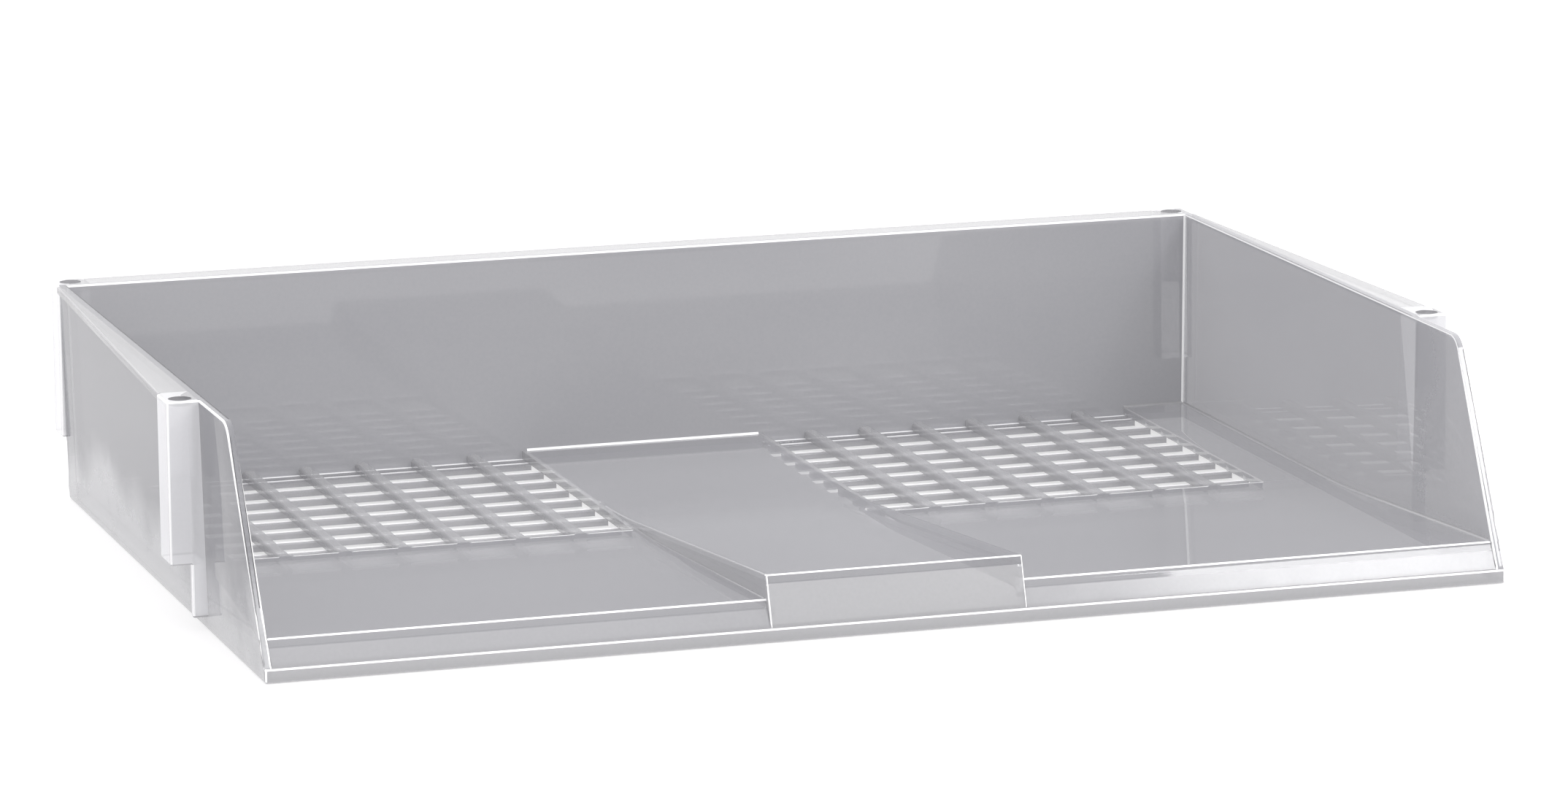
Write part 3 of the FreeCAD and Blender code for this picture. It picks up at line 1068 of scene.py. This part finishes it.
@dataclass
class CornerFillets:
    """Moulded fillets along the tray's inside corners, carrying painted highlights."""

    moulder: Moulder
    upright_radius: float = 0.55 * MM
    floor_radius: float = 0.65 * MM
    flank_radius: float = 0.39 * MM
    deck_radius: float = 0.6 * MM
    step: float = 6.0 * MM
    high_start: float = 50.0 * MM
    wall_place: float = 50.0 * MM

    def wall_point(self, side: Side, y: float, z: float) -> Vector:
        """Inner face of a side wall.

        Args:
            side: which wall.
            y: place along the tray.
            z: height.

        Returns:
            The point on the wall.
        """
        start = Vector((0.0, y, z))
        heading = Vector((float(side.value), 0.0, 0.0))
        found = self.moulder.solids.hit((side.prefix + "side_wall",), start, heading)
        return found if found else start

    def floor_height(self, side: Side, x: float, y: float) -> float:
        """Height of the floor's surface.

        Args:
            side: which half of the floor.
            x: place across the tray.
            y: place along it.

        Returns:
            The height, or 0 where there is no floor.
        """
        names = (side.prefix + "floor_ramp", side.prefix + "floor_margin")
        start = Vector((x, y, self.high_start))
        found = self.moulder.solids.hit(names, start, Vector((0.0, 0.0, -1.0)))
        return found.z if found else 0.0

    def places(self, start: float, end: float) -> list[float]:
        """Even places from start to end, about a step apart."""
        count = max(1, round(abs(end - start) / self.step))
        return [start + (end - start) * index / count for index in range(count + 1)]

    def uprights(self) -> list[CornerLine]:
        """Fillets up the two back corners of the bay.

        Returns:
            One line for each corner.
        """
        lines = []
        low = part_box("left_floor_margin")[1][2]
        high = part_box("back_wall")[1][2]
        for side in Side:
            corners = []
            for z in self.places(low, high - 0.1 * MM):
                wall = self.wall_point(side, self.wall_place, z)
                start = Vector((0.0, 0.0, z))
                back = self.moulder.solids.hit(("back_wall",), start, Vector((0.0, 1.0, 0.0)))
                corners.append(Vector((wall.x, back.y, z)))
            # the upright fillets carry the bright painted highlight
            lines.append(CornerLine(side.prefix + "upright_fillet", corners,
                                    Vector((-side.value, 0, 0)), Vector((0, -1, 0)),
                                    self.upright_radius, Surface.EDGE))
        return lines

    def floor_lines(self) -> list[CornerLine]:
        """Fillets where the side walls meet the floor.

        Returns:
            One line for each wall.
        """
        lines = []
        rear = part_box("left_floor_margin")[1][1] - 0.5 * MM
        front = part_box("left_floor_ramp")[0][1] + 2.0 * MM
        for side in Side:
            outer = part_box(side.prefix + "floor_ramp")[1 if side is Side.RIGHT else 0][0]
            inset = outer - side.value * MM
            corners = []
            for y in self.places(rear, front):
                z = self.floor_height(side, inset, y)
                corners.append(Vector((self.wall_point(side, y, z + 0.2 * MM).x, y, z)))
            lines.append(CornerLine(side.prefix + "floor_fillet", corners,
                                    Vector((-side.value, 0, 0)), Vector((0, 0, 1)),
                                    self.floor_radius))
        return lines

    def deck_lines(self) -> list[CornerLine]:
        """Fillets behind the deck, behind the floor strips and along the deck's foot.

        Returns:
            The lines, from the back to the front.
        """
        lines = []
        forward, up = Vector((0, -1, 0)), Vector((0, 0, 1))
        deck_low, deck_high = (Vector(corner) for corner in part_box("centre_deck"))
        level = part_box("left_floor_margin")[1][2]
        spans = {"deck": (deck_low.x, deck_high.x)}
        for side in Side:
            low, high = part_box(side.prefix + "floor_margin")
            spans[side.prefix + "margin"] = (low[0], high[0])
        for name, (left, right) in spans.items():
            radius = self.deck_radius if name == "deck" else self.floor_radius
            # the deck's rear fillet carries the bright painted highlight, the others the softer
            # one
            surface = Surface.EDGE if name == "deck" else Surface.SOFT_HIGHLIGHT
            corners = [Vector((x, deck_high.y, level)) for x in (left, right)]
            lines.append(CornerLine(name + "_rear_fillet", corners, forward, up, radius, surface))
        for side in Side:
            edge = deck_high.x * side.value
            corners = [Vector((edge, y, self.floor_height(side, edge + 2 * MM * side.value, y)))
                       for y in self.places(-0.5 * MM, deck_low.y + 2.5 * MM)]
            lines.append(CornerLine(side.prefix + "flank_fillet", corners,
                                    Vector((side.value, 0, 0)), up, self.flank_radius))
        return lines

    def build(self) -> None:
        """Sweeps every fillet."""
        for line in self.uprights() + self.floor_lines() + self.deck_lines():
            self.moulder.settle(line.name, line.mesh())


# ---------------------------------------------------------------- studio


@dataclass(frozen=True)
class SoftBox:
    """One rectangular studio light."""

    name: str
    place: tuple[float, float, float]
    aim: tuple[float, float, float]
    size: tuple[float, float]
    power: float

    def build(self) -> None:
        """Hangs the light and points it at its aim."""
        light = bpy.data.lights.new(self.name, "AREA")
        light.shape = "RECTANGLE"
        light.size, light.size_y = self.size
        light.energy = self.power
        lamp = bpy.data.objects.new(self.name, light)
        lamp.location = self.place
        heading = Vector(self.aim) - Vector(self.place)
        lamp.rotation_euler = heading.to_track_quat("-Z", "Y").to_euler()
        bpy.context.scene.collection.objects.link(lamp)


@dataclass
class Studio:
    """Pale floor, soft sky, one soft box and the camera."""

    camera_place: tuple[float, float, float] = (-0.5992, -1.9346, 0.4453)
    camera_azimuth: float = 17.425
    camera_elevation: float = 11.293
    camera_roll: float = 0.554
    lens: float = 162.52
    sensor: float = 36.0
    floor_reach: float = 7.0
    floor_gap: float = 0.2 * MM
    sky_tint: tuple[float, ...] = (1.0, 0.995, 1.0, 1.0)
    sky: float = 1.15
    left_sky: float = 0.78
    overhead: float = 2.2
    front_right_box: SoftBox = SoftBox("front_right_box", (0.72, -0.89, 0.95), (0.11, -0.13, 0.01),
                                       (0.32, 0.35), 4.3)

    def floor(self) -> None:
        """Lays the pale floor just under the tray."""
        mesh = bmesh.new()
        bmesh.ops.create_grid(mesh, x_segments=8, y_segments=8, size=self.floor_reach)
        data = bpy.data.meshes.new("studio_floor")
        mesh.to_mesh(data)
        mesh.free()
        floor = bpy.data.objects.new("studio_floor", data)
        floor.location.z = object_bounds()[0][2] - self.floor_gap
        data.materials.append(PaleFloor().material())
        bpy.context.scene.collection.objects.link(floor)
        floor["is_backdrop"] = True

    def world(self) -> None:
        """Fills the room with soft white light, dimmer on the left and brightest overhead."""
        world = bpy.data.worlds.new("studio_sky")
        world.use_nodes = True
        tree = world.node_tree
        background = tree.nodes["Background"]
        background.inputs["Color"].default_value = self.sky_tint
        heading = tree.nodes.new("ShaderNodeTexCoord")
        axes = tree.nodes.new("ShaderNodeSeparateXYZ")
        tree.links.new(heading.outputs["Generated"], axes.inputs["Vector"])
        strength = tree.nodes.new("ShaderNodeMath")
        strength.operation = "MULTIPLY"
        fades = (("X", "SMOOTHSTEP", (-0.9, 0.1), (self.left_sky, self.sky)),
                 ("Z", "LINEAR", (0.1, 1.0), (1.0, self.overhead)))
        for index, (axis, kind, reach, levels) in enumerate(fades):
            fade = tree.nodes.new("ShaderNodeMapRange")
            fade.interpolation_type = kind
            fade.inputs["From Min"].default_value, fade.inputs["From Max"].default_value = reach
            fade.inputs["To Min"].default_value, fade.inputs["To Max"].default_value = levels
            tree.links.new(axes.outputs[axis], fade.inputs["Value"])
            tree.links.new(fade.outputs["Result"], strength.inputs[index])
        tree.links.new(strength.outputs["Value"], background.inputs["Strength"])
        bpy.context.scene.world = world
        bpy.context.scene.view_settings.view_transform = "Standard"

    def camera(self) -> None:
        """Sets the camera low and to the left of the tray."""
        azimuth, elevation = math.radians(self.camera_azimuth), math.radians(self.camera_elevation)
        forward = Vector((math.sin(azimuth) * math.cos(elevation),
                          math.cos(azimuth) * math.cos(elevation), -math.sin(elevation)))
        right = Vector((math.cos(azimuth), -math.sin(azimuth), 0.0))
        upward = right.cross(forward)
        turn = Matrix.Rotation(math.radians(self.camera_roll), 3, forward)
        right, upward = turn @ right, turn @ upward
        data = bpy.data.cameras.new("studio_camera")
        data.sensor_width = self.sensor
        data.lens = self.lens
        data.clip_end = 40.0
        camera = bpy.data.objects.new("studio_camera", data)
        frame = Matrix((right, upward, -forward)).transposed().to_4x4()
        frame.translation = Vector(self.camera_place)
        camera.matrix_world = frame
        bpy.context.scene.collection.objects.link(camera)
        bpy.context.scene.camera = camera

    def build(self) -> None:
        """Sets up the whole studio."""
        self.floor()
        self.world()
        self.front_right_box.build()
        self.camera()


def main() -> None:
    """Builds the tray around the frame, then the studio."""
    logging.basicConfig(level=logging.INFO, format="%(name)s %(message)s")
    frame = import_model()
    bores = [(Vector(mount["pos_m"]), mount["dims"]["r_mm"] * MM)
             for mount in frame["record"]["mounts"] if mount["kind"] == "bore"]
    moulder = Moulder(frame["nodes"], SolidField(frame["nodes"]), FinishSet(), bores)
    for assembly in (Walls, Floor, VentGrids, CentreDeck, FrontEdge, LedgesAndPosts,
                     CornerFillets):
        assembly(moulder).build()
        LOG.info("built %s", assembly.__name__)
    Studio().build()


if __name__ == "__main__":
    main()
